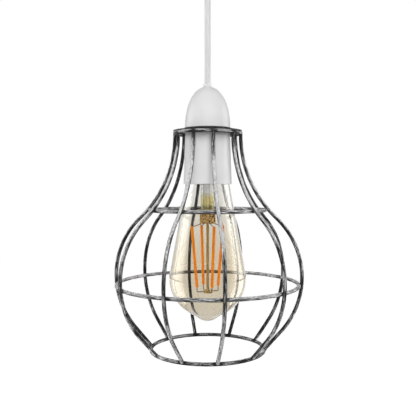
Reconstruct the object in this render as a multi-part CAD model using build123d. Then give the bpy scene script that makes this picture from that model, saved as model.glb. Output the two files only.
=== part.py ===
from build123d import *
from build123d.topology import SkipClean

import os
from math import acos, asin, atan2, cos, degrees, hypot, radians, sin, sqrt

# Pendant light: a welded wire cage clamped on a bayonet lampholder, with its bulb,
# flex and ceiling rose. Millimetres, +Z up. The origin is the middle of the face of
# the rose that lies on the ceiling, and everything hangs below it.

# Ceiling rose
rose_radius = 39.0
rose_height = 28.0
rose_side = 8.0
rose_side_pull = 11.0
rose_crown_pull = 21.5
rose_wall = 2.8
rose_base_thickness = 7.0
rose_thread_clearance = 0.2
fixing_spacing = 51.0
fixing_hole_radius = 2.25
rose_post_spacing = 16.0
rose_post_width = 6.0
rose_post_depth = 8.0
rose_post_height = 7.0

# Flex
flex_diameter = 4.9
flex_drop = 89.5
flex_entry = 8.0
flex_clearance = 0.2
core_radius = 1.0
core_gap = 0.2
core_fan = 3.2
core_bite = 0.8

# Lampholder cap
cap_radius = 18.8
dome_height = 34.2
dome_side_pull = 18.8
dome_crown_pull = 12.0
cap_wall = 2.0
cap_thread_height = 9.0
collar_height = 2.1
collar_wall = 0.9

# Lampholder body and its contacts
barrel_wall = 2.8
barrel_rise = 8.0
barrel_length = 39.2
floor_depth = 9.2
floor_thickness = 6.0
thread_clearance = 0.15
slot_width = 2.8
slot_turn = 25.0
slot_return = 1.2
plunger_spacing = 8.0
plunger_radius = 2.0
plunger_head = 4.0
plunger_stem_radius = 1.1
plunger_reach = 5.0
plunger_play = 0.3
spring_clearance = 0.2
spring_wire = 0.6
post_width = 5.0
post_depth = 7.0
post_height = 6.0
post_spacing = 10.0
screw_radius = 1.1
screw_depth = 2.0
screw_head_radius = 1.7
screw_head_height = 1.0

# Lampholder skirt
skirt_cover = 9.0
skirt_top_radius = 18.5
skirt_mouth_radius = 19.95
skirt_wall = 1.4
skirt_thread_height = 12.2

# Dished plate of the cage
plate_thickness = 1.0
plate_clearance = 0.3
seat_margin = 0.7
dish_width = 3.5
dish_depth = 2.0
plate_overlap = 1.1
plate_weld = 0.15

# Wire cage
wire_diameter = 2.7
weld_depth = 0.4
rib_count = 10
rib_phase = 12.0
front_rib_shift = -2.8
rear_rib_shift = 1.8
ring_radius = 27.3
belly_radius = 77.9
belly_drop = 118.0
neck_bend = 95.5
tail_lean = 41.3
tail_length = 20.2
upper_hoop_drop = 62.6
belly_hoop_drop = 124.2

# Bulb cap
shell_radius = 10.9
shell_wall = 0.5
shell_gap = 3.0
shell_clearance = 0.3
shell_flare = 1.5
shell_flare_height = 3.0
lip_width = 2.9
lip_thickness = 0.6
insulator_rise = 1.8
insulator_flange = 1.9
insulator_play = 0.1
contact_radius = 1.6
contact_height = 1.2
pin_radius = 1.0
pin_reach = 2.6
pin_drop = 4.5

# Bulb glass
bulb_length = 148.3
bulb_radius = 32.0
tip_height = 3.3
tip_radius = 9.0
tip_blend = 14.0
glass_wall = 0.8
glass_clearance = 0.45
shoulder_rise = 1.0
neck_gap = 0.1
neck_step = 1.0
neck_engagement = 9.0

# Glass stem inside the bulb
stem_flange = 1.2
stem_radius = 5.8
stem_wall = 0.8
stem_length = 42.0
pinch_width = 13.0
pinch_depth = 5.0
pinch_height = 9.0
rod_radius = 1.2
foot_radius = 3.3
foot_height = 2.6

# Filaments and their wires
filament_count = 4
filament_phase = 22.0
filament_radius = 1.2
filament_gap = 1.8
filament_height = 50.4
filament_top_circle = 14.0
filament_foot_circle = 9.5
lead_radius = 0.35
lead_bite = 0.8
lead_rise = 2.0
support_drop = 4.3
support_bend = 1.2

# Radii and levels that follow from the sizes above
wire_radius = wire_diameter / 2
flex_radius = flex_diameter / 2
flex_hole_radius = flex_radius + flex_clearance
rose_bore = rose_radius - rose_wall
socket_bore = shell_radius + shell_clearance
barrel_radius = socket_bore + barrel_wall
thread_bore = barrel_radius + thread_clearance
plate_hole = barrel_radius + plate_clearance
seat_radius = max(cap_radius, skirt_top_radius) + seat_margin
spring_radius = plunger_stem_radius + spring_clearance + spring_wire
floor_hole = max(spring_radius, plunger_radius) + spring_clearance

rose_bottom = -rose_height
rose_post_end = -rose_base_thickness - rose_post_height
flex_top = rose_post_end - core_fan
collar_top = rose_bottom - flex_drop
dome_top = collar_top - collar_height
flex_bottom = dome_top - cap_wall - flex_entry
clamp_top = dome_top - dome_height
clamp_bottom = clamp_top - plate_thickness
rim_bottom = clamp_bottom - dish_depth
ring_level = rim_bottom - (wire_radius - plate_weld)

barrel_top = clamp_top + barrel_rise
barrel_mouth = barrel_top - barrel_length
floor_top = barrel_top - floor_depth
floor_bottom = floor_top - floor_thickness
contact_level = floor_bottom - plunger_reach
plunger_shoulder = contact_level + plunger_head

insulator_top = contact_level - contact_height
shell_top = insulator_top - insulator_rise
shell_bottom = barrel_mouth - shell_gap - shell_flare_height
skirt_mouth = shell_bottom - skirt_cover
lip_bottom = shell_top - lip_thickness
pin_level = shell_top - pin_drop
neck_top = shell_bottom + neck_engagement
neck_radius = shell_radius - shell_wall - neck_gap
bulb_tip = contact_level - bulb_length
globe_level = bulb_tip + tip_height + bulb_radius

pinch_top = neck_top - stem_length
pinch_bottom = pinch_top - pinch_height
filament_top = pinch_bottom - filament_gap
filament_foot = filament_top - filament_height
support_level = filament_foot - support_drop
foot_bottom = support_level - foot_height / 2

# The rib is a neck arc, a belly arc tangent to it, and a straight tail
rib_step = 360 / rib_count
end_set = wire_radius - weld_depth
rib_top = ring_level - end_set
belly_level = rib_top - belly_drop
rib_spread = belly_radius - ring_radius
bend_sum = (rib_spread**2 + belly_drop**2) / (2 * rib_spread)
belly_bend = bend_sum - neck_bend
neck_turn = degrees(asin(belly_drop / bend_sum))
neck_centre = ring_radius + neck_bend
belly_centre = belly_radius - belly_bend

# The glass is a cone tangent to the globe, and it starts just inside the skirt's mouth
shoulder_level = skirt_mouth + shoulder_rise
shoulder_radius = skirt_mouth_radius - skirt_wall - glass_clearance
shoulder_height = shoulder_level - globe_level
shoulder_distance = hypot(shoulder_radius, shoulder_height)
cone_slope = atan2(shoulder_height, shoulder_radius) - acos(bulb_radius / shoulder_distance)

ON_BASE = (Align.CENTER, Align.CENTER, Align.MIN)
FROM_TOP = (Align.CENTER, Align.CENTER, Align.MAX)
TO_FRONT = (Align.CENTER, Align.MAX, Align.MIN)


def section(inner, outer, low, high):
    """Rectangle of a half section, from two radii and two levels."""
    return Pos((inner + outer) / 2, (low + high) / 2) * Rectangle(outer - inner, high - low)


def polygon(*corners):
    """Half section with straight sides, as pairs of radius and level."""
    return make_face(Polyline(*corners, close=True))


def half_dome(radius, base, crown, side_pull, crown_pull):
    """Half section of a dome that leaves its base upright and runs level into its crown."""
    edge = Bezier((radius, base), (radius, base + side_pull), (crown_pull, crown), (0, crown))
    return make_face([edge, Polyline((0, crown), (0, base), (radius, base))])


def turned(profile):
    """Solid of revolution of a half section about the lamp's axis."""
    return revolve(Plane.XZ * profile, Axis.Z)


def rod_between(start, end, radius):
    """Straight round bar from one point to another."""
    run = Vector(*end) - Vector(*start)
    return Plane(start, z_dir=run) * Cylinder(radius, run.length, align=ON_BASE)


def around(angle, radius, level):
    """Point at an angle from the front, counted towards +X."""
    return (radius * sin(radians(angle)), -radius * cos(radians(angle)), level)


# Ceiling rose
def rose_base():
    disc = Cylinder(rose_bore - rose_thread_clearance, rose_base_thickness, align=FROM_TOP)
    hole = Cylinder(fixing_hole_radius, rose_base_thickness, align=FROM_TOP)
    return disc - [Pos(side * fixing_spacing / 2) * hole for side in (-1, 1)]


def rose_cover():
    outside = section(0, rose_radius, -rose_side, 0)
    outside += half_dome(rose_radius, -rose_side, rose_bottom, -rose_side_pull, rose_crown_pull)
    inside = section(0, rose_bore, -rose_side, 0)
    ceiling = rose_bottom + rose_wall
    inside += half_dome(rose_bore, -rose_side, ceiling, -rose_side_pull, rose_crown_pull - rose_wall)
    flex_hole = section(0, flex_hole_radius, rose_bottom, 0)
    return turned(outside - inside - flex_hole)


def rose_posts():
    post = Box(rose_post_width, rose_post_depth, rose_post_height, align=FROM_TOP)
    return [Pos(side * rose_post_spacing / 2, 0, -rose_base_thickness) * post for side in (-1, 1)]


def rose_cores():
    return cores(flex_top - core_bite, rose_post_spacing, rose_post_end + core_bite, rose_posts())


# Flex and its two cores
def flex():
    return Pos(0, 0, flex_bottom) * Cylinder(flex_radius, flex_top - flex_bottom, align=ON_BASE)


def cores(start_level, end_spacing, end_level, posts):
    """Two cores that fan out from an end of the flex to a pair of terminal posts."""
    made = []
    for side in (-1, 1):
        start = (side * (core_radius + core_gap / 2), 0, start_level)
        end = (side * end_spacing / 2, 0, end_level)
        made.append(rod_between(start, end, core_radius) - flex() - posts)
    return made


# Lampholder
def lampholder_cap():
    outside = half_dome(cap_radius, clamp_top, dome_top, dome_side_pull, dome_crown_pull)
    outside += section(0, flex_hole_radius + collar_wall, clamp_top, collar_top)
    inner_radius = cap_radius - cap_wall
    inner_top = dome_top - cap_wall
    thread_top = clamp_top + cap_thread_height
    cavity = half_dome(inner_radius, clamp_top, inner_top, dome_side_pull, dome_crown_pull - cap_wall)
    cavity &= section(0, inner_radius, thread_top, inner_top)
    bore = section(0, thread_bore, clamp_top, thread_top)
    flex_hole = section(0, flex_hole_radius, clamp_top, collar_top)
    return turned(outside - cavity - bore - flex_hole)


def bayonet_slot():
    """Entry slot, cross run and return notch for one bayonet pin, at the front."""
    run_middle = pin_level + slot_return
    run_top = run_middle + slot_width / 2
    slot_bottom = pin_level - slot_width / 2
    entry_height = run_top - barrel_mouth
    wall = section(0, barrel_radius, run_middle - slot_width / 2, run_top)
    entry = Box(slot_width, barrel_radius, entry_height, align=TO_FRONT)
    notch = Box(slot_width, barrel_radius, run_top - slot_bottom, align=TO_FRONT)
    run = Rot(0, 0, -90) * revolve(Plane.XZ * wall, Axis.Z, slot_turn)
    slot = Rot(0, 0, slot_turn) * Pos(0, 0, barrel_mouth) * entry
    return slot + run + Pos(0, 0, slot_bottom) * notch


def lampholder_body():
    profile = section(socket_bore, barrel_radius, barrel_mouth, barrel_top)
    profile += section(0, barrel_radius, floor_bottom, floor_top)
    body = turned(profile)
    hole = Pos(0, 0, floor_bottom) * Cylinder(floor_hole, floor_thickness, align=ON_BASE)
    body -= [Pos(side * plunger_spacing / 2) * hole for side in (-1, 1)]
    return body - [Rot(0, 0, turn) * bayonet_slot() for turn in (0, 180)]


def contact_plungers():
    head = section(0, plunger_radius, contact_level, plunger_shoulder)
    stem = section(0, plunger_stem_radius, plunger_shoulder, floor_top - plunger_play)
    plunger = turned(head + stem)
    return [Pos(side * plunger_spacing / 2) * plunger for side in (-1, 1)]


def plunger_springs():
    spring = turned(section(spring_radius - spring_wire, spring_radius, plunger_shoulder, floor_top))
    return [Pos(side * plunger_spacing / 2) * spring for side in (-1, 1)]


def terminal_screw():
    """Screw along +X, with its head's underside at the origin."""
    shank = Cylinder(screw_radius, screw_depth, align=FROM_TOP)
    head = Cylinder(screw_head_radius, screw_head_height, align=ON_BASE)
    return Rot(0, 90, 0) * (shank + head)


def terminal_screws():
    seat = Pos((post_spacing + post_width) / 2, 0, floor_top + post_height / 2)
    return [Rot(0, 0, turn) * seat * terminal_screw() for turn in (0, 180)]


def terminal_posts():
    post = Box(post_width, post_depth, post_height, align=ON_BASE)
    posts = [Pos(side * post_spacing / 2, 0, floor_top) * post for side in (-1, 1)]
    return [post - terminal_screws() for post in posts]


def holder_cores():
    start = flex_bottom + core_bite
    end = floor_top + post_height - core_bite
    return cores(start, post_spacing, end, terminal_posts())


def lampholder_skirt():
    outside = polygon(
        (0, clamp_bottom),
        (skirt_top_radius, clamp_bottom),
        (skirt_mouth_radius, skirt_mouth),
        (0, skirt_mouth),
    )
    inside = polygon(
        (0, clamp_bottom),
        (skirt_top_radius - skirt_wall, clamp_bottom),
        (skirt_mouth_radius - skirt_wall, skirt_mouth),
        (0, skirt_mouth),
    )
    thread_bottom = clamp_bottom - skirt_thread_height
    hollow = inside & section(0, skirt_mouth_radius, skirt_mouth, thread_bottom)
    bore = section(0, thread_bore, thread_bottom, clamp_bottom)
    return turned(outside - hollow - bore)


# Wire cage
def cage_rib():
    neck = JernArc((ring_radius, rib_top), (0, -1), neck_bend, neck_turn)
    belly = JernArc(neck @ 1, neck % 1, belly_bend, -neck_turn - tail_lean)
    tail = Line(belly @ 1, belly @ 1 + (belly % 1) * tail_length)
    path = Plane.XZ * Wire([neck, belly, tail])
    start = Plane(path @ 0, x_dir=(1, 0, 0), z_dir=path % 0)
    return sweep(start * Circle(wire_radius), path)


def rib_shifts():
    """Degrees by which each rib stands off its even place, counted from the front rib."""
    shifts = [0] * rib_count
    shifts[0] = front_rib_shift
    shifts[rib_count // 2] = rear_rib_shift
    return shifts


def at_rib(number, piece):
    """Copy of a piece that is drawn along +X, turned to the even place of a rib."""
    return Rot(0, 0, rib_phase - 90 + rib_step * number) * piece


def hoop_radius(drop):
    """Radius of a hoop that lies inside the ribs, that far below their tops."""
    inset = wire_diameter - weld_depth
    if drop < (neck_bend + inset) * sin(radians(neck_turn)):
        return neck_centre - sqrt((neck_bend + inset) ** 2 - drop**2)
    return belly_centre + sqrt((belly_bend - inset) ** 2 - (drop - belly_drop) ** 2)


def hoop(radius, level, *welded):
    """Wire ring of bays, one at each rib, with seats for what is welded to it."""
    wire = Plane.XZ * Pos(radius, level) * Rot(0, 0, 90) * Circle(wire_radius)
    bay = Rot(0, 0, -rib_step / 2) * revolve(wire, Axis.Z, rib_step)
    bays = []
    with SkipClean():
        for number, shift in enumerate(rib_shifts()):
            seats = [Rot(0, 0, shift) * piece for piece in welded]
            bays.append(at_rib(number, bay - seats))
        return bays[0] + bays[1:]


def bottom_ring(rib):
    lean = radians(tail_lean)
    reach = tail_length + end_set
    radius = belly_centre + belly_bend * cos(lean) - reach * sin(lean)
    level = belly_level - belly_bend * sin(lean) - reach * cos(lean)
    return hoop(radius, level, rib)


def top_plate():
    dish_radius = seat_radius + dish_width
    rim_radius = ring_radius + plate_overlap
    return turned(
        polygon(
            (plate_hole, clamp_top),
            (seat_radius, clamp_top),
            (dish_radius, clamp_top - dish_depth),
            (rim_radius, clamp_top - dish_depth),
            (rim_radius, rim_bottom),
            (dish_radius, rim_bottom),
            (seat_radius, clamp_bottom),
            (plate_hole, clamp_bottom),
        )
    )


# Bulb
def bulb_cap():
    shell = section(shell_radius - shell_wall, shell_radius, shell_bottom + shell_flare_height, shell_top)
    shell += section(shell_radius - lip_width, shell_radius, lip_bottom, shell_top)
    shell += polygon(
        (shell_radius - shell_wall, shell_bottom + shell_flare_height),
        (shell_radius, shell_bottom + shell_flare_height),
        (shell_radius + shell_flare, shell_bottom),
        (shell_radius + shell_flare - shell_wall, shell_bottom),
    )
    pin = Rot(90, 0, 0) * Cylinder(pin_radius, shell_radius + pin_reach, align=ON_BASE)
    core = Pos(0, 0, shell_bottom) * Cylinder(shell_radius - shell_wall, shell_top - shell_bottom, align=ON_BASE)
    pins = [Rot(0, 0, turn) * Pos(0, 0, pin_level) * pin - core for turn in (0, 180)]
    return turned(shell) + pins


def bulb_insulator():
    button = section(0, shell_radius - lip_width, lip_bottom, insulator_top)
    flange_radius = shell_radius - shell_wall - insulator_play
    flange = section(0, flange_radius, lip_bottom - insulator_flange, lip_bottom)
    return turned(button + flange)


def bulb_contacts():
    pad = Pos(0, 0, insulator_top) * Cylinder(contact_radius, contact_height, align=ON_BASE)
    return [Pos(side * plunger_spacing / 2) * pad for side in (-1, 1)]


def glass_outline(inset):
    """Half section of the bulb's form, drawn in by an inset from its outside."""
    globe = bulb_radius - inset
    slope = degrees(cone_slope)
    out = Vector(cos(cone_slope), sin(cone_slope))
    middle = Vector(0, globe_level)
    shoulder = Vector(shoulder_radius, shoulder_level)
    bend = (shoulder_radius - neck_radius - neck_step) / cos(cone_slope)
    bend_middle = shoulder - out * bend
    tip_middle = Vector(0, bulb_tip + tip_radius)
    to_blend = bulb_radius + tip_blend
    tip_to_blend = tip_radius + tip_blend
    between = middle.Y - tip_middle.Y
    turn = acos((to_blend**2 + between**2 - tip_to_blend**2) / (2 * to_blend * between))
    blend_middle = middle + Vector(sin(turn), -cos(turn)) * to_blend
    tip_turn = degrees(atan2(blend_middle.Y - tip_middle.Y, blend_middle.X))
    globe_end = degrees(turn) - 90
    shoulder_arc = CenterArc(bend_middle, bend - inset, slope, 90 - slope)
    globe_arc = CenterArc(middle, globe, globe_end, slope - globe_end)
    blend_arc = CenterArc(blend_middle, tip_blend + inset, 90 + degrees(turn), 90 + tip_turn - degrees(turn))
    tip_arc = CenterArc(tip_middle, tip_radius - inset, -90, tip_turn + 90)
    side = Line(shoulder_arc @ 0, globe_arc @ 1)
    step_level = (shoulder_arc @ 1).Y
    neck = Polyline(
        shoulder_arc @ 1,
        (neck_radius - inset, step_level),
        (neck_radius - inset, neck_top),
        (0, neck_top),
        tip_arc @ 0,
    )
    return make_face([shoulder_arc, side, globe_arc, blend_arc, tip_arc, neck])


def glass_envelope():
    return turned(glass_outline(0) - glass_outline(glass_wall))


def bulb_stem():
    flange = section(0, neck_radius - glass_wall, neck_top - stem_flange, neck_top)
    tube = section(0, stem_radius, pinch_top, neck_top)
    bore = section(0, stem_radius - stem_wall, pinch_top + stem_wall, neck_top)
    rod = section(0, rod_radius, foot_bottom, pinch_bottom)
    foot = section(0, foot_radius, foot_bottom, foot_bottom + foot_height)
    pinch = Pos(0, 0, pinch_bottom) * Box(pinch_width, pinch_depth, pinch_height, align=ON_BASE)
    return turned(flange + tube - bore) + pinch + turned(rod) + turned(foot)


def filament_angles():
    step = 360 / filament_count
    return [filament_phase + step * turn for turn in range(filament_count)]


def filament(angle):
    top = around(angle, filament_top_circle, filament_top)
    foot = around(angle, filament_foot_circle, filament_foot)
    return rod_between(foot, top, filament_radius)


def lead_wires():
    """Wires from the pinch to the top of each filament."""
    made = []
    for angle in filament_angles():
        start = (0, 0, pinch_bottom + lead_rise)
        end = around(angle, filament_top_circle, filament_top - lead_bite)
        made.append(rod_between(start, end, lead_radius) - bulb_stem() - filament(angle))
    return made


def support_wires():
    """Bent wires from the foot of the rod up to the lower end of each filament."""
    made = []
    for angle in filament_angles():
        start = (0, 0, support_level)
        corner = around(angle, filament_foot_circle, support_level)
        end = around(angle, filament_foot_circle, filament_foot + lead_bite)
        path = FilletPolyline(start, corner, end, radius=support_bend)
        wire = sweep(Plane(path @ 0, z_dir=path % 0) * Circle(lead_radius), path)
        made.append(wire - bulb_stem() - filament(angle))
    return made


def all_parts():
    """Every piece by its name, as one solid or a list of like solids."""
    rib = cage_rib()
    plate = top_plate()
    parts = {}
    for number, shift in enumerate(rib_shifts()):
        parts[f"rib_{number + 1:02d}"] = at_rib(number, Rot(0, 0, shift) * rib)
    parts["top_ring"] = hoop(ring_radius, ring_level, rib, plate)
    parts["upper_hoop"] = hoop(hoop_radius(upper_hoop_drop), rib_top - upper_hoop_drop, rib)
    parts["belly_hoop"] = hoop(hoop_radius(belly_hoop_drop), rib_top - belly_hoop_drop, rib)
    parts["bottom_ring"] = bottom_ring(rib)
    parts["top_plate"] = plate
    parts["lampholder_cap"] = lampholder_cap()
    parts["lampholder_body"] = lampholder_body()
    parts["lampholder_skirt"] = lampholder_skirt()
    parts["contact_plungers"] = contact_plungers()
    parts["plunger_springs"] = plunger_springs()
    parts["terminal_posts"] = terminal_posts()
    parts["terminal_screws"] = terminal_screws()
    parts["holder_cores"] = holder_cores()
    parts["bulb_cap"] = bulb_cap()
    parts["bulb_insulator"] = bulb_insulator()
    parts["bulb_contacts"] = bulb_contacts()
    parts["glass_envelope"] = glass_envelope()
    parts["bulb_stem"] = bulb_stem()
    for number, angle in enumerate(filament_angles(), 1):
        parts[f"filament_{number}"] = filament(angle)
    parts["lead_wires"] = lead_wires()
    parts["support_wires"] = support_wires()
    parts["flex"] = flex()
    parts["rose_base"] = rose_base()
    parts["rose_cover"] = rose_cover()
    parts["rose_posts"] = rose_posts()
    parts["rose_cores"] = rose_cores()
    return parts


os.makedirs("parts", exist_ok=True)
for name, made in all_parts().items():
    solids = made if isinstance(made, list) else [made]
    bodies = [solid for piece in solids for solid in piece.solids()]
    export_step(Compound(children=bodies), f"parts/{name}.step")
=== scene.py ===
from math import acos, asin, atan2, ceil, cos, exp, hypot, pi, radians, sin

import bmesh
import bpy
from mathutils import Matrix, Vector, noise


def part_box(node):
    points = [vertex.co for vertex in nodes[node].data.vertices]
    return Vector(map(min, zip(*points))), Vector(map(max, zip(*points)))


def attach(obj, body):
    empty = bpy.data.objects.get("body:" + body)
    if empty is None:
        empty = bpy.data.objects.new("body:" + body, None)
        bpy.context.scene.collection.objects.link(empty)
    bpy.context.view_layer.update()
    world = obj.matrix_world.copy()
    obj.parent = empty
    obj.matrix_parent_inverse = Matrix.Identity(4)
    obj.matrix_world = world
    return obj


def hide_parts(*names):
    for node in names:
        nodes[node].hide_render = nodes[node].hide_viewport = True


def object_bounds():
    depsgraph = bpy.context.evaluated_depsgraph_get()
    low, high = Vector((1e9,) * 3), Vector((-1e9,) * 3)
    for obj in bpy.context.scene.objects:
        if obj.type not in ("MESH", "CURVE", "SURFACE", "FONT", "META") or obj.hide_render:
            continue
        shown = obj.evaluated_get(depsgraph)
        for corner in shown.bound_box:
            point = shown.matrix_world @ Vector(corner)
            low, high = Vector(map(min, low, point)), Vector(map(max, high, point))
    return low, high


# Pendant light with a dry-brushed wire cage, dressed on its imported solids. Metres, +Z up,
# with the origin on the ceiling and -Y towards the camera.
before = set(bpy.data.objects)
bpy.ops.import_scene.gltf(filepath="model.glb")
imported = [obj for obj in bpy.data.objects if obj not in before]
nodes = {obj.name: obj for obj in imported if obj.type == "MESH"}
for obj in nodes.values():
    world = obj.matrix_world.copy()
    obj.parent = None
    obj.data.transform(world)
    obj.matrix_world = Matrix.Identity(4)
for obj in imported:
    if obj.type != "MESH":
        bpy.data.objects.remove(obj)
cad_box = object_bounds()
scene = bpy.context.scene
scene.view_settings.view_transform = "Standard"
up = Vector((0.0, 0.0, 1.0))

# Cage sizes that the solids' boxes don't give
rib_count = 10
rib_phase = radians(12.0)
front_rib_shift = radians(-2.8)
rear_rib_shift = radians(1.8)
neck_bend = 0.0955
belly_drop = 0.118
tail_lean = radians(41.3)
tail_length = 0.0202

# Fineness and unevenness of the painted wires
wire_sides = 20
wire_step = 0.0012
paint_lumps = 0.03
lump_grain = 0.003
paint_coat = 0.0002

# Marks of the brush, as their fineness around and along the wire. The gap, in wire steps,
# keeps the marks of one wire from coming again on the next.
streak_shape = (1.6, 1.6, 0.07)
patch_shape = (0.12, 0.12, 0.04)
fleck_shape = (1.0, 1.0, 0.28)
brush_gap = 1000

# Shares of silver that the dry brush left on the black wires, with more on the ribs' upper stretch
# and on the hoops' upper sides as a painted highlight of light from above
bare_wire = -1.50
neck_silver = 0.18
neck_fade = 0.032
# partly a painted highlight: more silver where the ribs face up below the neck
upper_silver_and_highlight = 1.02
belly_silver = 0.32
lower_silver = 0.60
side_silver = 0.26
inner_silver = 0.17
hoop_silver = 0.49
top_ring_silver = 0.48
bottom_ring_silver = 0.28
waist_rise = 0.022
# painted highlight: more silver on the upper side of each hoop
crown_highlight = 0.20
weld_loss = 0.60
weld_fade = 0.0030

# Cosines of the turn off the outer side at which the brush begins and fully bears on a rib
brush_begins = 0.2
brush_bears = 0.85

# Weld beads, as half sizes along the hoop, along the rib and through the joint
crossing_bead = (0.0018, 0.0017, 0.0009)
end_bead = (0.0017, 0.0010, 0.0017)
bead_lumps = 0.22
bead_grain = 0.0012

# Bulb sizes that the solid's box doesn't give, with slightly fuller flanks at the tip
tip_height = 0.0033
tip_radius = 0.0130
tip_blend = 0.0600
shoulder_radius = 0.0181
shoulder_level = -0.1990
glass_neck_radius = 0.0103
neck_step = 0.0010
glass_wall = 0.0008
glass_sides = 144
glass_step = 0.0008

# Gold coat of the bulb: full up to a height over the tip, gone at a depth below the neck's end
coat_height = 0.045
coat_end_depth = 0.016

# Parts of the bulb's stem: depths below its top, and lengths over which its glass changes
pinch_top_depth = 0.042
pinch_bottom_depth = 0.051
olive_length = 0.011
clear_length = 0.018
pinch_edge = 0.0008
rod_edge = 0.0004
fold_fade = 0.003

# Depths of relief in the materials
fine_relief = 0.0002
fold_relief = 0.0008

# Camera and studio
camera_place = (0.0003, -0.5027, -0.2036)
camera_pitch = radians(1.86)
camera_lens = 52.35
camera_sensor = 36.0
studio_middle = Vector((0.0, 0.0, -0.24))
soft_margin = 0.35
world_fill = 0.2
floor_drop = 0.8
floor_width = 14.0
floor_lift = 0.85

# Lamps, each with its place, width, height, radiance, and whether it is only mirrored
lamps = {
    "left_softbox": ((-0.83, 0.19, -0.375), 1.10, 1.45, 3.5, True),
    "right_softbox": ((0.81, 0.26, -0.375), 1.00, 1.45, 3.4, True),
    "left_fill": ((-0.85, -0.10, -0.25), 0.9, 1.1, 1.4, False),
    "right_fill": ((0.85, -0.10, -0.25), 0.9, 1.1, 0.7, False),
    "front_fill": ((0.15, -1.30, 0.25), 1.2, 1.2, 5.2, False),
    "top_fill": ((0.0, -0.30, 0.75), 1.0, 1.0, 0.4, False),
    "back_fill": ((0.0, 1.30, 0.10), 1.2, 1.2, 3.4, False),
}


def axis_reach(node):
    """Largest distance of a node's surface from the lamp's axis."""
    return max(hypot(corner.co.x, corner.co.y) for corner in nodes[node].data.vertices)


def hoop_line(node):
    """Radius and level of a hoop's centreline, from its solid."""
    low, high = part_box(node)
    return (high.x - low.x) / 2 - wire_radius, low.z + wire_radius


hoop_low, hoop_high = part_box("upper_hoop")
wire_radius = (hoop_high.z - hoop_low.z) / 2
ring_radius = hoop_line("top_ring")[0]
upper_level = hoop_line("upper_hoop")[1]
bottom_level = hoop_line("bottom_ring")[1]
rib_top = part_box("rib_01")[1].z
belly_radius = axis_reach("rib_01") - wire_radius

# The rib is a neck arc, a belly arc tangent to it, and a straight tail
belly_level = rib_top - belly_drop
rib_spread = belly_radius - ring_radius
bend_sum = (rib_spread**2 + belly_drop**2) / (2 * rib_spread)
belly_bend = bend_sum - neck_bend
neck_turn = asin(belly_drop / bend_sum)
neck_centre = ring_radius + neck_bend
belly_centre = belly_radius - belly_bend


class Network:
    """A node tree under construction."""

    def __init__(self, tree):
        self.tree = tree

    def join(self, value, socket):
        """Link another node's output to a socket, or set the socket to a constant."""
        if isinstance(value, bpy.types.NodeSocket):
            self.tree.links.new(value, socket)
        else:
            socket.default_value = value

    def node(self, kind, inputs, **settings):
        """New node whose inputs are constants or other nodes' outputs."""
        made = self.tree.nodes.new("ShaderNode" + kind)
        for setting, value in settings.items():
            setattr(made, setting, value)
        for socket, value in inputs.items():
            self.join(value, made.inputs[socket])
        return made

    def math(self, operation, first, second):
        return self.node("Math", {0: first, 1: second}, operation=operation).outputs[0]

    def ramp(self, value, low, high, first=0.0, last=1.0):
        """Smooth change from one number to another as a value goes from low to high."""
        sockets = {"Value": value, "From Min": low, "From Max": high}
        sockets.update({"To Min": first, "To Max": last})
        return self.node("MapRange", sockets, interpolation_type="SMOOTHSTEP").outputs["Result"]

    def part(self, vector, axis):
        return self.node("SeparateXYZ", {"Vector": vector}).outputs[axis]


class Paint(Network):
    """A material under construction: its node tree and its Principled shader."""

    def __init__(self, name, sockets):
        self.material = bpy.data.materials.new(name)
        self.material.use_nodes = True
        super().__init__(self.material.node_tree)
        self.shader = self.tree.nodes["Principled BSDF"]
        for socket, value in sockets.items():
            self.shader.inputs[socket].default_value = value

    def feed(self, socket, value):
        self.join(value, self.shader.inputs[socket])

    def place(self):
        """Point of the surface in the lamp's frame."""
        return self.node("TexCoord", {}).outputs["Object"]

    def attribute(self, name, output):
        return self.node("Attribute", {}, attribute_name=name).outputs[output]

    def scaled(self, vector, scale):
        return self.node("Mapping", {"Vector": vector, "Scale": scale}).outputs["Vector"]

    def clouds(self, vector, scale, detail):
        sockets = {"Vector": vector, "Scale": scale, "Detail": detail}
        return self.node("TexNoise", sockets).outputs["Fac"]

    def mixed(self, share, first, second):
        """Colour between two colours, with sockets by number because their names repeat."""
        made = self.node("Mix", {0: share, 6: first, 7: second}, data_type="RGBA")
        return made.outputs[2]

    def total(self, start, *terms):
        """A number plus each value times its weight."""
        running = start
        for value, weight in terms:
            sockets = {0: value, 1: weight, 2: running}
            running = self.node("Math", sockets, operation="MULTIPLY_ADD").outputs[0]
        return running

    def bumped(self, height, strength, distance=fine_relief):
        sockets = {"Height": height, "Strength": strength, "Distance": distance}
        self.feed("Normal", self.node("Bump", sockets).outputs["Normal"])


def colour(red, green, blue):
    return (red, green, blue, 1.0)


def grey(level):
    return colour(level, level, level)


# Materials


def cage_paint():
    """Black lacquer with silver dry-brushed along the wire; the silver's share also holds a
    painted highlight of light from above.
    """
    paint = Paint("cage_paint", {"Specular IOR Level": 0.1})
    black = colour(0.016, 0.016, 0.018)
    brush = paint.attribute("brush", "Vector")
    # share of silver, partly a painted highlight on the upper ribs and hoop tops
    share = paint.attribute("silver", "Fac")
    streaks = paint.clouds(paint.scaled(brush, streak_shape), scale=2.4, detail=3.0)
    patches = paint.clouds(paint.scaled(brush, patch_shape), scale=2.0, detail=2.0)
    flecks = paint.clouds(paint.scaled(brush, fleck_shape), scale=2.4, detail=2.0)
    cover = paint.total(bare_wire, (share, 1.0), (streaks, 1.8), (flecks, 0.4), (patches, 0.8))
    silvered = paint.ramp(cover, low=0.20, high=0.80)
    silver = paint.mixed(paint.ramp(flecks, low=0.36, high=0.64), grey(0.46), grey(0.82))
    paint.feed("Base Color", paint.mixed(silvered, black, silver))
    paint.feed("Metallic", paint.ramp(silvered, 0.0, 1.0, first=0.0, last=0.15))
    paint.feed("Roughness", paint.ramp(silvered, 0.0, 1.0, first=0.55, last=0.38))
    paint.bumped(streaks, strength=0.35)
    return paint.material


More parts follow.
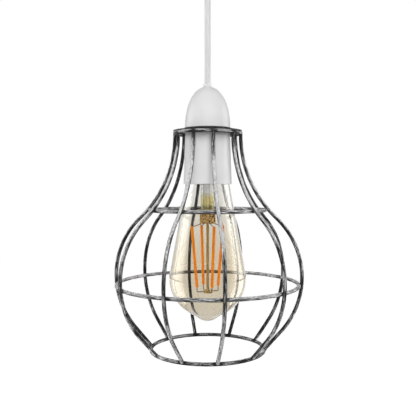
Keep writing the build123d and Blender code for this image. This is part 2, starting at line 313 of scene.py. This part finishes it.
def weld_paint():
    """Lacquer run into the welds, with a little silver on its lumps."""
    paint = Paint("weld_paint", {"Specular IOR Level": 0.2, "Roughness": 0.5})
    lumps = paint.clouds(paint.place(), scale=1400.0, detail=3.0)
    silvered = paint.ramp(lumps, low=0.52, high=0.75)
    paint.feed("Base Color", paint.mixed(silvered, grey(0.010), grey(0.16)))
    paint.bumped(lumps, strength=0.4)
    return paint.material


def plate_paint():
    """The same lacquer on the pressed plate, brushed thinly."""
    paint = Paint("plate_paint", {"Specular IOR Level": 0.2})
    level = paint.scaled(paint.place(), (1.0, 1.0, 6.0))
    streaks = paint.clouds(level, scale=420.0, detail=4.0)
    silvered = paint.ramp(streaks, low=0.52, high=0.78)
    paint.feed("Base Color", paint.mixed(silvered, grey(0.012), grey(0.22)))
    paint.feed("Roughness", paint.ramp(silvered, 0.0, 1.0, first=0.55, last=0.42))
    paint.bumped(streaks, strength=0.2)
    return paint.material


def moulded_white(name, pale, shade):
    """White moulded plastic with a faint cloudiness and a fine satin skin."""
    paint = Paint(name, {"Specular IOR Level": 0.4})
    clouds = paint.clouds(paint.place(), scale=45.0, detail=3.0)
    skin = paint.clouds(paint.place(), scale=2600.0, detail=2.0)
    paint.feed("Base Color", paint.mixed(paint.ramp(clouds, low=0.3, high=0.7), pale, shade))
    paint.feed("Roughness", paint.ramp(skin, low=0.3, high=0.7, first=0.30, last=0.40))
    paint.bumped(skin, strength=0.05)
    return paint.material


def sheath_white():
    """White flex sheath, with fine drawn lines along it."""
    paint = Paint("sheath_white", {"Specular IOR Level": 0.4, "Roughness": 0.45})
    drawn = paint.scaled(paint.place(), (1.0, 1.0, 0.02))
    lines = paint.clouds(drawn, scale=1500.0, detail=3.0)
    share = paint.ramp(lines, low=0.3, high=0.7)
    paint.feed("Base Color", paint.mixed(share, grey(0.66), grey(0.74)))
    paint.bumped(lines, strength=0.15)
    return paint.material


def worked_metal(name, bright, worn, roughness, grain):
    """Metal with a slight change of tone and a fine grain."""
    paint = Paint(name, {"Metallic": 1.0})
    clouds = paint.clouds(paint.place(), scale=grain, detail=4.0)
    paint.feed("Base Color", paint.mixed(paint.ramp(clouds, low=0.35, high=0.7), bright, worn))
    rougher = roughness + 0.15
    paint.feed("Roughness", paint.ramp(clouds, low=0.3, high=0.7, first=roughness, last=rougher))
    paint.bumped(clouds, strength=0.08)
    return paint.material


def black_vitrite():
    """Black glass insulator, slightly mottled."""
    paint = Paint("black_vitrite", {"Roughness": 0.15})
    clouds = paint.clouds(paint.place(), scale=700.0, detail=3.0)
    paint.feed("Base Color", paint.mixed(clouds, grey(0.008), grey(0.03)))
    return paint.material


def amber_glass():
    """Clear glass with a thin gold coat that fades out towards the cap."""
    paint = Paint("amber_glass", {"Transmission Weight": 1.0, "Roughness": 0.0, "IOR": 1.45})
    height = paint.part(paint.place(), "Z")
    low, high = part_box("glass_envelope")
    bare = paint.ramp(height, low.z + coat_height, high.z - coat_end_depth)
    clouds = paint.clouds(paint.place(), scale=60.0, detail=2.0)
    gold = paint.mixed(clouds, colour(0.82, 0.775, 0.68), colour(0.85, 0.80, 0.70))
    paint.feed("Base Color", paint.mixed(bare, gold, colour(0.925, 0.925, 0.905)))
    body = paint.node("VolumeAbsorption", {"Color": colour(0.45, 0.41, 0.30), "Density": 90.0})
    paint.join(body.outputs["Volume"], paint.tree.nodes["Material Output"].inputs["Volume"])
    return paint.material


def stem_glass():
    """Drawn glass of the stem: a tube, clear above and olive below, a browned pinch and a rod."""
    paint = Paint("stem_glass", {"Transmission Weight": 1.0, "Roughness": 0.03, "IOR": 1.5})
    place = paint.place()
    height = paint.part(place, "Z")
    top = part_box("bulb_stem")[1].z
    pinch_top = top - pinch_top_depth
    pinch_bottom = top - pinch_bottom_depth
    in_tube = (height, pinch_top, pinch_top + pinch_edge)
    lines = paint.clouds(paint.scaled(place, (1.0, 1.0, 0.03)), scale=520.0, detail=2.0)
    specks = paint.clouds(place, scale=800.0, detail=3.0)
    streaked = paint.ramp(lines, low=0.35, high=0.65)
    olive = paint.mixed(streaked, colour(0.66, 0.60, 0.32), colour(0.96, 0.92, 0.72))
    clear = paint.mixed(streaked, grey(0.72), grey(0.98))
    cleared = paint.ramp(height, pinch_top + olive_length, pinch_top + clear_length)
    tube = paint.mixed(cleared, olive, clear)
    speckled = paint.ramp(specks, low=0.47, high=0.55)
    browned = paint.mixed(speckled, colour(0.98, 0.66, 0.27), colour(0.08, 0.04, 0.01))
    rod = paint.mixed(lines, colour(0.46, 0.32, 0.10), colour(0.66, 0.49, 0.19))
    lower = paint.mixed(paint.ramp(height, pinch_bottom - rod_edge, pinch_bottom), rod, browned)
    paint.feed("Base Color", paint.mixed(paint.ramp(*in_tube), lower, tube))
    paint.feed("Transmission Weight", paint.ramp(*in_tube, first=0.4, last=1.0))
    in_pinch = paint.ramp(height, pinch_top, pinch_top + fold_fade, first=1.0, last=0.15)
    paint.bumped(paint.math("MULTIPLY", specks, in_pinch), strength=0.8, distance=fold_relief)
    return paint.material


def phosphor():
    """Orange silicone phosphor of the filaments, slightly grainy."""
    paint = Paint("phosphor", {"Roughness": 0.6, "Specular IOR Level": 0.15})
    grain = paint.clouds(paint.place(), scale=1800.0, detail=3.0)
    orange = paint.mixed(grain, colour(0.92, 0.25, 0.0), colour(1.0, 0.34, 0.002))
    paint.feed("Base Color", orange)
    paint.bumped(grain, strength=0.15)
    return paint.material


def core_sheath():
    """Coloured sheaths of the two cores, matt and slightly uneven."""
    paint = Paint("core_sheath_plastic", {"Roughness": 0.5})
    clouds = paint.clouds(paint.place(), scale=400.0, detail=3.0)
    brown = paint.mixed(clouds, colour(0.16, 0.07, 0.03), colour(0.22, 0.10, 0.05))
    paint.feed("Base Color", brown)
    return paint.material


def metals():
    """Finishes of the metal solids, each with its tones, roughness and fineness of grain."""
    brass = (colour(0.62, 0.42, 0.16), colour(0.70, 0.52, 0.24))
    nickel = (colour(0.55, 0.53, 0.47), colour(0.68, 0.66, 0.60))
    dark = (colour(0.20, 0.15, 0.10), colour(0.34, 0.27, 0.18))
    return {
        "contact_brass": worked_metal("brass", *brass, roughness=0.28, grain=300.0),
        "spring_steel": worked_metal("steel", grey(0.42), grey(0.56), roughness=0.30, grain=400.0),
        "bulb_cap_metal": worked_metal("cap_metal", *nickel, roughness=0.25, grain=260.0),
        "solder": worked_metal("solder", grey(0.40), grey(0.58), roughness=0.35, grain=900.0),
        "lead_metal": worked_metal("lead_wire", *dark, roughness=0.40, grain=900.0),
    }


def dress_solids():
    """Give each solid that shows as it is the finish of its material."""
    finishes = metals()
    finishes.update(
        {
            "cage_plate": plate_paint(),
            "holder_white": moulded_white("holder_plastic", grey(0.80), grey(0.76)),
            "rose_white": moulded_white("rose_plastic", grey(0.82), grey(0.78)),
            "core_sheath": core_sheath(),
            "insulator_black": black_vitrite(),
            "stem_glass": stem_glass(),
            "filament_phosphor": phosphor(),
        }
    )
    for node in nodes.values():
        for holder in node.material_slots:
            slot = holder.material.name
            if slot in finishes:
                holder.material = finishes[slot]


def smooth(start, end, value):
    """Smooth change from 0 to 1 as a value goes from start to end."""
    share = min(max((value - start) / (end - start), 0.0), 1.0)
    return share * share * (3 - 2 * share)


def blend(first, second, share):
    return first + (second - first) * share


def spaced(start, end, length, step):
    """Values from start to end, about one step apart along an arc or run of that length."""
    count = max(2, ceil(abs(length) / step))
    return [blend(start, end, number / count) for number in range(count + 1)]


# Cage wires


def rib_stations():
    """Centreline of a rib, as radius, level and turn off straight down."""
    stations = []
    for turn in spaced(0.0, neck_turn, neck_bend * neck_turn, wire_step):
        radius = neck_centre - neck_bend * cos(turn)
        stations.append((radius, rib_top - neck_bend * sin(turn), turn))
    belly_length = belly_bend * (neck_turn + tail_lean)
    for turn in spaced(neck_turn, -tail_lean, belly_length, wire_step)[1:]:
        radius = belly_centre + belly_bend * cos(turn)
        stations.append((radius, belly_level + belly_bend * sin(turn), turn))
    radius, level, turn = stations[-1]
    for run in spaced(0.0, tail_length, tail_length, wire_step)[1:]:
        stations.append((radius + run * sin(turn), level - run * cos(turn), turn))
    return stations


def rib_angles():
    """Angles of the ribs from the front, towards +X, two of them off the even spacing."""
    angles = [rib_phase + 2 * pi * number / rib_count for number in range(rib_count)]
    angles[0] += front_rib_shift
    angles[rib_count // 2] += rear_rib_shift
    return angles


def outwards(angle):
    return Vector((sin(angle), -cos(angle), 0.0))


def sideways(angle):
    return Vector((cos(angle), sin(angle), 0.0))


def rib_places(angle):
    """Points of a rib with the directions outwards and sideways from its wire."""
    places = []
    for radius, level, turn in rib_stations():
        point = outwards(angle) * radius + up * level
        outer = outwards(angle) * cos(turn) + up * sin(turn)
        places.append((point, outer, sideways(angle)))
    return places


def hoop_places(radius, level):
    """Points of a hoop, from a rib at the back, with the directions outwards and up."""
    start = rib_angles()[rib_count // 2]
    places = []
    for angle in spaced(start, start + 2 * pi, 2 * pi * radius, wire_step)[:-1]:
        places.append((outwards(angle) * radius + up * level, outwards(angle), up))
    return places


def weld_joints():
    """Places where ribs meet rings and hoops, each with its bead's half sizes and axes."""
    stations = rib_stations()
    crossings = []
    for node in ("upper_hoop", "belly_hoop"):
        radius, level = hoop_line(node)
        nearest = min(stations, key=lambda place: hypot(place[0] - radius, place[1] - level))
        crossings.append((radius, level, nearest[2]))
    found = []
    for angle in rib_angles():
        for radius, level, turn in (stations[0], stations[-1]):
            place = outwards(angle) * radius + up * level
            along = outwards(angle) * sin(turn) - up * cos(turn)
            axes = (sideways(angle), along, sideways(angle).cross(along))
            found.append((place, end_bead, axes))
        for radius, level, turn in crossings:
            outer = outwards(angle) * cos(turn) + up * sin(turn)
            place = outwards(angle) * radius + up * level + outer * wire_radius
            axes = (sideways(angle), sideways(angle).cross(outer), outer)
            found.append((place, crossing_bead, axes))
    return found


joints = weld_joints()
weld_places = [joint[0] for joint in joints]


def nearness(point):
    """How near a point is to a weld, from 0 to 1."""
    gap = min((point - place).length for place in weld_places)
    return exp(-((gap / weld_fade) ** 2))


def rib_silver_and_highlight(point, around):
    """Share of silver on a rib: on its outer side, most below the neck, where it is partly a
    painted highlight of light from above, and least at the belly.
    """
    # the high share below the neck is partly a painted highlight of light from above
    outer = blend(neck_silver, upper_silver_and_highlight, smooth(rib_top, rib_top - neck_fade, point.z))
    outer = blend(outer, belly_silver, smooth(upper_level + waist_rise, belly_level, point.z))
    outer = blend(outer, lower_silver, smooth(belly_level, bottom_level, point.z))
    rest = blend(inner_silver, side_silver, smooth(-1.0, 0.0, cos(around)))
    return blend(rest, outer, smooth(brush_begins, brush_bears, cos(around)))


def hoop_brush_and_highlight(share):
    """Share of silver on a hoop: more on its upper side, as a painted highlight of light from
    above, and less beside the welds.
    """

    def silver(point, around):
        # the upper side's extra silver is a painted highlight
        return share + crown_highlight * sin(around) - weld_loss * nearness(point)

    return silver


def new_piece(name, mesh, material):
    """Object for a mesh, on the lamp's only body."""
    piece = bpy.data.objects.new(name, mesh)
    scene.collection.objects.link(piece)
    piece.data.materials.append(material)
    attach(piece, "root")
    return piece


def wire(name, places, closed, number, material, brushed):
    """Painted wire through its places, with the brush's coordinates and its share of silver, which
    also holds a painted highlight.
    """
    corners = []
    silver = []
    for point, outer, across in places:
        for side in range(wire_sides):
            around = 2 * pi * side / wire_sides
            direction = outer * cos(around) + across * sin(around)
            lump = paint_lumps * noise.noise((point + direction * wire_radius) / lump_grain)
            corners.append(point + direction * (wire_radius * (1 + lump) + paint_coat))
            silver.append(brushed(corners[-1], around))
    count = len(places)
    faces = []
    brush = []
    for station in range(count if closed else count - 1):
        here = station * wire_sides
        ahead = (station + 1) % count * wire_sides
        for side in range(wire_sides):
            next_side = (side + 1) % wire_sides
            faces.append((here + side, ahead + side, ahead + next_side, here + next_side))
            for run, turn in ((0, side), (1, side), (1, side + 1), (0, side + 1)):
                around = 2 * pi * turn / wire_sides
                start = number * brush_gap * wire_step
                along = (start + (station + run) * wire_step) / wire_radius
                brush += [cos(around), sin(around), along]
    mesh = bpy.data.meshes.new(name)
    mesh.from_pydata(corners, [], faces)
    mesh.attributes.new("brush", "FLOAT_VECTOR", "CORNER").data.foreach_set("vector", brush)
    mesh.attributes.new("silver", "FLOAT", "POINT").data.foreach_set("value", silver)
    mesh.shade_smooth()
    mesh.update()
    return new_piece(name, mesh, material)


def cage_wires():
    """The ribs and hoops as painted wires, in place of their plain solids."""
    material = cage_paint()
    for number, angle in enumerate(rib_angles(), 1):
        name = f"brushed_rib_{number:02d}"
        rib = wire(name, rib_places(angle), False, number, material, rib_silver_and_highlight)
        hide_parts(f"rib_{number:02d}")
    hoops = {
        "top_ring": top_ring_silver,
        "upper_hoop": hoop_silver,
        "belly_hoop": hoop_silver,
        "bottom_ring": bottom_ring_silver,
    }
    for number, (node, share) in enumerate(hoops.items(), rib_count + 1):
        places = hoop_places(*hoop_line(node))
        hoop = wire(f"brushed_{node}", places, True, number, material, hoop_brush_and_highlight(share))
        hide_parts(node)


def weld_beads():
    """Lumpy beads of weld where the wires meet."""
    beads = bmesh.new()
    for place, sizes, axes in joints:
        shape = Matrix([axis * size for axis, size in zip(axes, sizes)]).transposed().to_4x4()
        made = bmesh.ops.create_icosphere(beads, subdivisions=2, radius=1.0)
        for corner in made["verts"]:
            target = place + shape @ corner.co
            lump = bead_lumps * noise.noise(target / bead_grain)
            corner.co = place + shape @ corner.co * (1 + lump)
    for face in beads.faces:
        face.smooth = True
    mesh = bpy.data.meshes.new("weld_beads")
    beads.to_mesh(mesh)
    beads.free()
    new_piece("weld_beads", mesh, weld_paint())


# Bulb glass


def arc(middle, radius, start, end):
    """Points of an arc in a half section, from one angle to another."""
    turns = spaced(start, end, radius * (end - start), glass_step)
    return [(middle[0] + radius * cos(turn), middle[1] + radius * sin(turn)) for turn in turns]


def straight(start, end):
    """Points of a straight run in a half section, without its ends."""
    run = hypot(end[0] - start[0], end[1] - start[1])
    shares = spaced(0.0, 1.0, run, glass_step)[1:-1]
    return [(blend(start[0], end[0], share), blend(start[1], end[1], share)) for share in shares]


def glass_line(inset):
    """Half section of the bulb from its neck to its tip, drawn in by an inset."""
    low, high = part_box("glass_envelope")
    globe = (high.x - low.x) / 2
    middle = low.z + tip_height + globe
    # The side runs from a bend below the neck to the globe, tangent to both
    rise = shoulder_level - middle
    slope = atan2(rise, shoulder_radius) - acos(globe / hypot(shoulder_radius, rise))
    bend = (shoulder_radius - glass_neck_radius - neck_step) / cos(slope)
    bend_middle = (shoulder_radius - bend * cos(slope), shoulder_level - bend * sin(slope))
    # A hollow arc joins the globe to the round tip, tangent to both
    tip_middle = low.z + tip_radius
    to_blend = globe + tip_blend
    to_tip = tip_radius + tip_blend
    between = middle - tip_middle
    turn = acos((to_blend**2 + between**2 - to_tip**2) / (2 * to_blend * between))
    blend_middle = (to_blend * sin(turn), middle - to_blend * cos(turn))
    tip_turn = atan2(blend_middle[1] - tip_middle, blend_middle[0])
    line = [(glass_neck_radius - inset, high.z)]
    line += arc(bend_middle, bend - inset, pi / 2, slope)
    globe_line = arc((0.0, middle), globe - inset, slope, turn - pi / 2)
    line += straight(line[-1], globe_line[0])
    line += globe_line
    line += arc(blend_middle, tip_blend + inset, pi / 2 + turn, pi + tip_turn)[1:]
    line += arc((0.0, tip_middle), tip_radius - inset, tip_turn, -pi / 2)[1:-1]
    return line


def bulb_glass():
    """Thin glass of the bulb as one closed shell, in place of its solid."""
    shell = bmesh.new()
    turns = [2 * pi * side / glass_sides for side in range(glass_sides)]
    walls = []
    for inset in (0.0, glass_wall):
        rings = []
        for radius, level in glass_line(inset):
            spots = [(radius * cos(turn), radius * sin(turn), level) for turn in turns]
            rings.append([shell.verts.new(spot) for spot in spots])
        tip = shell.verts.new((0.0, 0.0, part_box("glass_envelope")[0].z + inset))
        walls.append((rings, tip))
    for rings, tip in walls:
        for upper, lower in zip(rings, rings[1:]):
            for side in range(glass_sides):
                following = (side + 1) % glass_sides
                shell.faces.new((upper[side], lower[side], lower[following], upper[following]))
        for side in range(glass_sides):
            shell.faces.new((rings[-1][side], tip, rings[-1][(side + 1) % glass_sides]))
    outer, inner = walls[0][0][0], walls[1][0][0]
    for side in range(glass_sides):
        following = (side + 1) % glass_sides
        shell.faces.new((inner[side], outer[side], outer[following], inner[following]))
    bmesh.ops.recalc_face_normals(shell, faces=shell.faces)
    for face in shell.faces:
        face.smooth = True
    mesh = bpy.data.meshes.new("blown_bulb")
    shell.to_mesh(mesh)
    shell.free()
    bulb = new_piece("blown_bulb", mesh, amber_glass())
    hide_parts("glass_envelope")


def flex_cord():
    """The straight flex from the holder's cap up into the rose."""
    low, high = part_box("flex")
    collar_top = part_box("lampholder_cap")[1].z
    rose_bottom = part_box("rose_cover")[0].z
    levels = (low.z, collar_top, (collar_top + rose_bottom) / 2, rose_bottom, high.z)
    line = bpy.data.curves.new("flex_cord", "CURVE")
    line.dimensions = "3D"
    line.bevel_depth = (high.x - low.x) / 2
    line.bevel_resolution = 8
    line.use_fill_caps = True
    spline = line.splines.new("NURBS")
    spline.points.add(len(levels) - 1)
    for point, level in zip(spline.points, levels):
        point.co = (0.0, 0.0, level, 1.0)
    spline.order_u = 3
    spline.use_endpoint_u = True
    cord = new_piece("flex_cord", line, sheath_white())
    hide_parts("flex")


# Studio


def soft_sides(network, coordinate):
    """Share of a lamp's full strength, dimmer towards its left and right sides."""
    from_side = network.math("PINGPONG", network.part(coordinate, "X"), 0.5)
    return network.ramp(from_side, 0.0, soft_margin)


def softbox(name, place, width, height, radiance, mirrored):
    """Area lamp turned to the lamp shade, to light it or to be mirrored in it."""
    data = bpy.data.lights.new(name, "AREA")
    data.shape = "RECTANGLE"
    data.size = width
    data.size_y = height
    data.energy = radiance * pi * width * height
    data.use_nodes = True
    network = Network(data.node_tree)
    parametric = network.node("NewGeometry", {}).outputs["Parametric"]
    strength = network.tree.nodes["Emission"].inputs["Strength"]
    network.join(soft_sides(network, parametric), strength)
    lamp = bpy.data.objects.new(name, data)
    lamp.location = place
    lamp.rotation_euler = (studio_middle - Vector(place)).to_track_quat("-Z", "Y").to_euler()
    lamp.visible_camera = False
    lamp.visible_glossy = mirrored
    lamp.visible_diffuse = not mirrored
    lamp.visible_transmission = False
    scene.collection.objects.link(lamp)
    softbox_for_glass(lamp, width, height, radiance, mirrored)


def softbox_for_glass(lamp, width, height, radiance, mirrored):
    """The same lamp for light that goes through glass, dark where it is only seen behind it."""
    paint = Paint(lamp.name + "_for_glass", {})
    paint.material.cycles.emission_sampling = "NONE"
    path = paint.node("LightPath", {}).outputs
    bounces = {0: path["Diffuse Depth"], 1: path["Glossy Depth"] if mirrored else 0.0}
    bounced = paint.node("Math", bounces, use_clamp=True).outputs[0]
    soft = soft_sides(paint, paint.node("TexCoord", {}).outputs["Generated"])
    strength = paint.math("MULTIPLY", paint.math("MULTIPLY", bounced, soft), radiance)
    glow = paint.node("Emission", {"Strength": strength}).outputs[0]
    clear = paint.node("BsdfTransparent", {}).outputs[0]
    both = paint.node("AddShader", {0: glow, 1: clear}).outputs[0]
    paint.tree.nodes.remove(paint.shader)
    paint.join(both, paint.tree.nodes["Material Output"].inputs["Surface"])
    panel = flat_panel(paint.material.name, width, height, 0.0, paint.material)
    panel.location = lamp.location
    panel.rotation_euler = lamp.rotation_euler
    panel.visible_camera = False
    panel.visible_diffuse = False
    panel.visible_glossy = False
    panel.visible_shadow = False


def flat_panel(name, width, depth, level, material):
    """Flat rectangle that faces up, centred on the vertical axis."""
    mesh = bpy.data.meshes.new(name)
    signs = ((-1, -1), (1, -1), (1, 1), (-1, 1))
    corners = [(x * width / 2, y * depth / 2, level) for x, y in signs]
    mesh.from_pydata(corners, [], [(0, 1, 2, 3)])
    mesh.materials.append(material)
    panel = bpy.data.objects.new(name, mesh)
    scene.collection.objects.link(panel)
    return panel


def backdrop_seen(network, depth, near, far):
    """1 for rays that show the backdrop itself or through glass, and for mirrored ones only
    where it lies behind the lamp."""
    path = network.node("LightPath", {}).outputs
    behind = network.ramp(depth, near, far)
    sockets = {"Value": path["Glossy Depth"], "To Min": 1.0, "To Max": behind}
    mirrored = network.node("MapRange", sockets).outputs["Result"]
    turned = network.math("MAXIMUM", path["Is Glossy Ray"], path["Is Transmission Ray"])
    shown = network.math("MULTIPLY", turned, mirrored)
    return network.math("MAXIMUM", shown, path["Is Camera Ray"])


def away(network, coordinates):
    """How far a coordinate lies away from the camera's side."""
    return network.part(network.node("TexCoord", {}).outputs[coordinates], "Y")


def white_world():
    """White backdrop, and a dimmer fill light from all round."""
    world = bpy.data.worlds.new("studio_world")
    world.use_nodes = True
    network = Network(world.node_tree)
    dim = network.tree.nodes["Background"]
    dim.inputs["Color"].default_value = grey(1.0)
    dim.inputs["Strength"].default_value = world_fill
    white = network.node("Background", {"Color": grey(1.0)})
    seen = backdrop_seen(network, away(network, "Generated"), near=0.5, far=0.95)
    choice = network.node("MixShader", {"Fac": seen, 1: dim.outputs[0], 2: white.outputs[0]})
    network.join(choice.outputs[0], network.tree.nodes["World Output"].inputs["Surface"])
    scene.world = world


def pale_floor():
    """Pale floor under the hanging lamp, lifted to white where it is seen, darker in shadow."""
    dull = {"Base Color": grey(0.8), "Roughness": 0.9, "Specular IOR Level": 0.1}
    paint = Paint("floor_paint", {**dull, "Emission Color": grey(1.0)})
    seen = backdrop_seen(paint, away(paint, "Object"), near=0.5, far=2.0)
    paint.feed("Emission Strength", paint.math("MULTIPLY", seen, floor_lift))
    level = cad_box[0].z - floor_drop
    floor = flat_panel("floor", floor_width, floor_width, level, paint.material)


def camera():
    data = bpy.data.cameras.new("camera")
    data.sensor_width = camera_sensor
    data.lens = camera_lens
    made = bpy.data.objects.new("camera", data)
    made.location = camera_place
    made.rotation_euler = (pi / 2 - camera_pitch, 0.0, 0.0)
    scene.collection.objects.link(made)
    scene.camera = made


camera()
flex_cord()
cage_wires()
weld_beads()
bulb_glass()
dress_solids()
for lamp_name, settings in lamps.items():
    softbox(lamp_name, *settings)
white_world()
pale_floor()
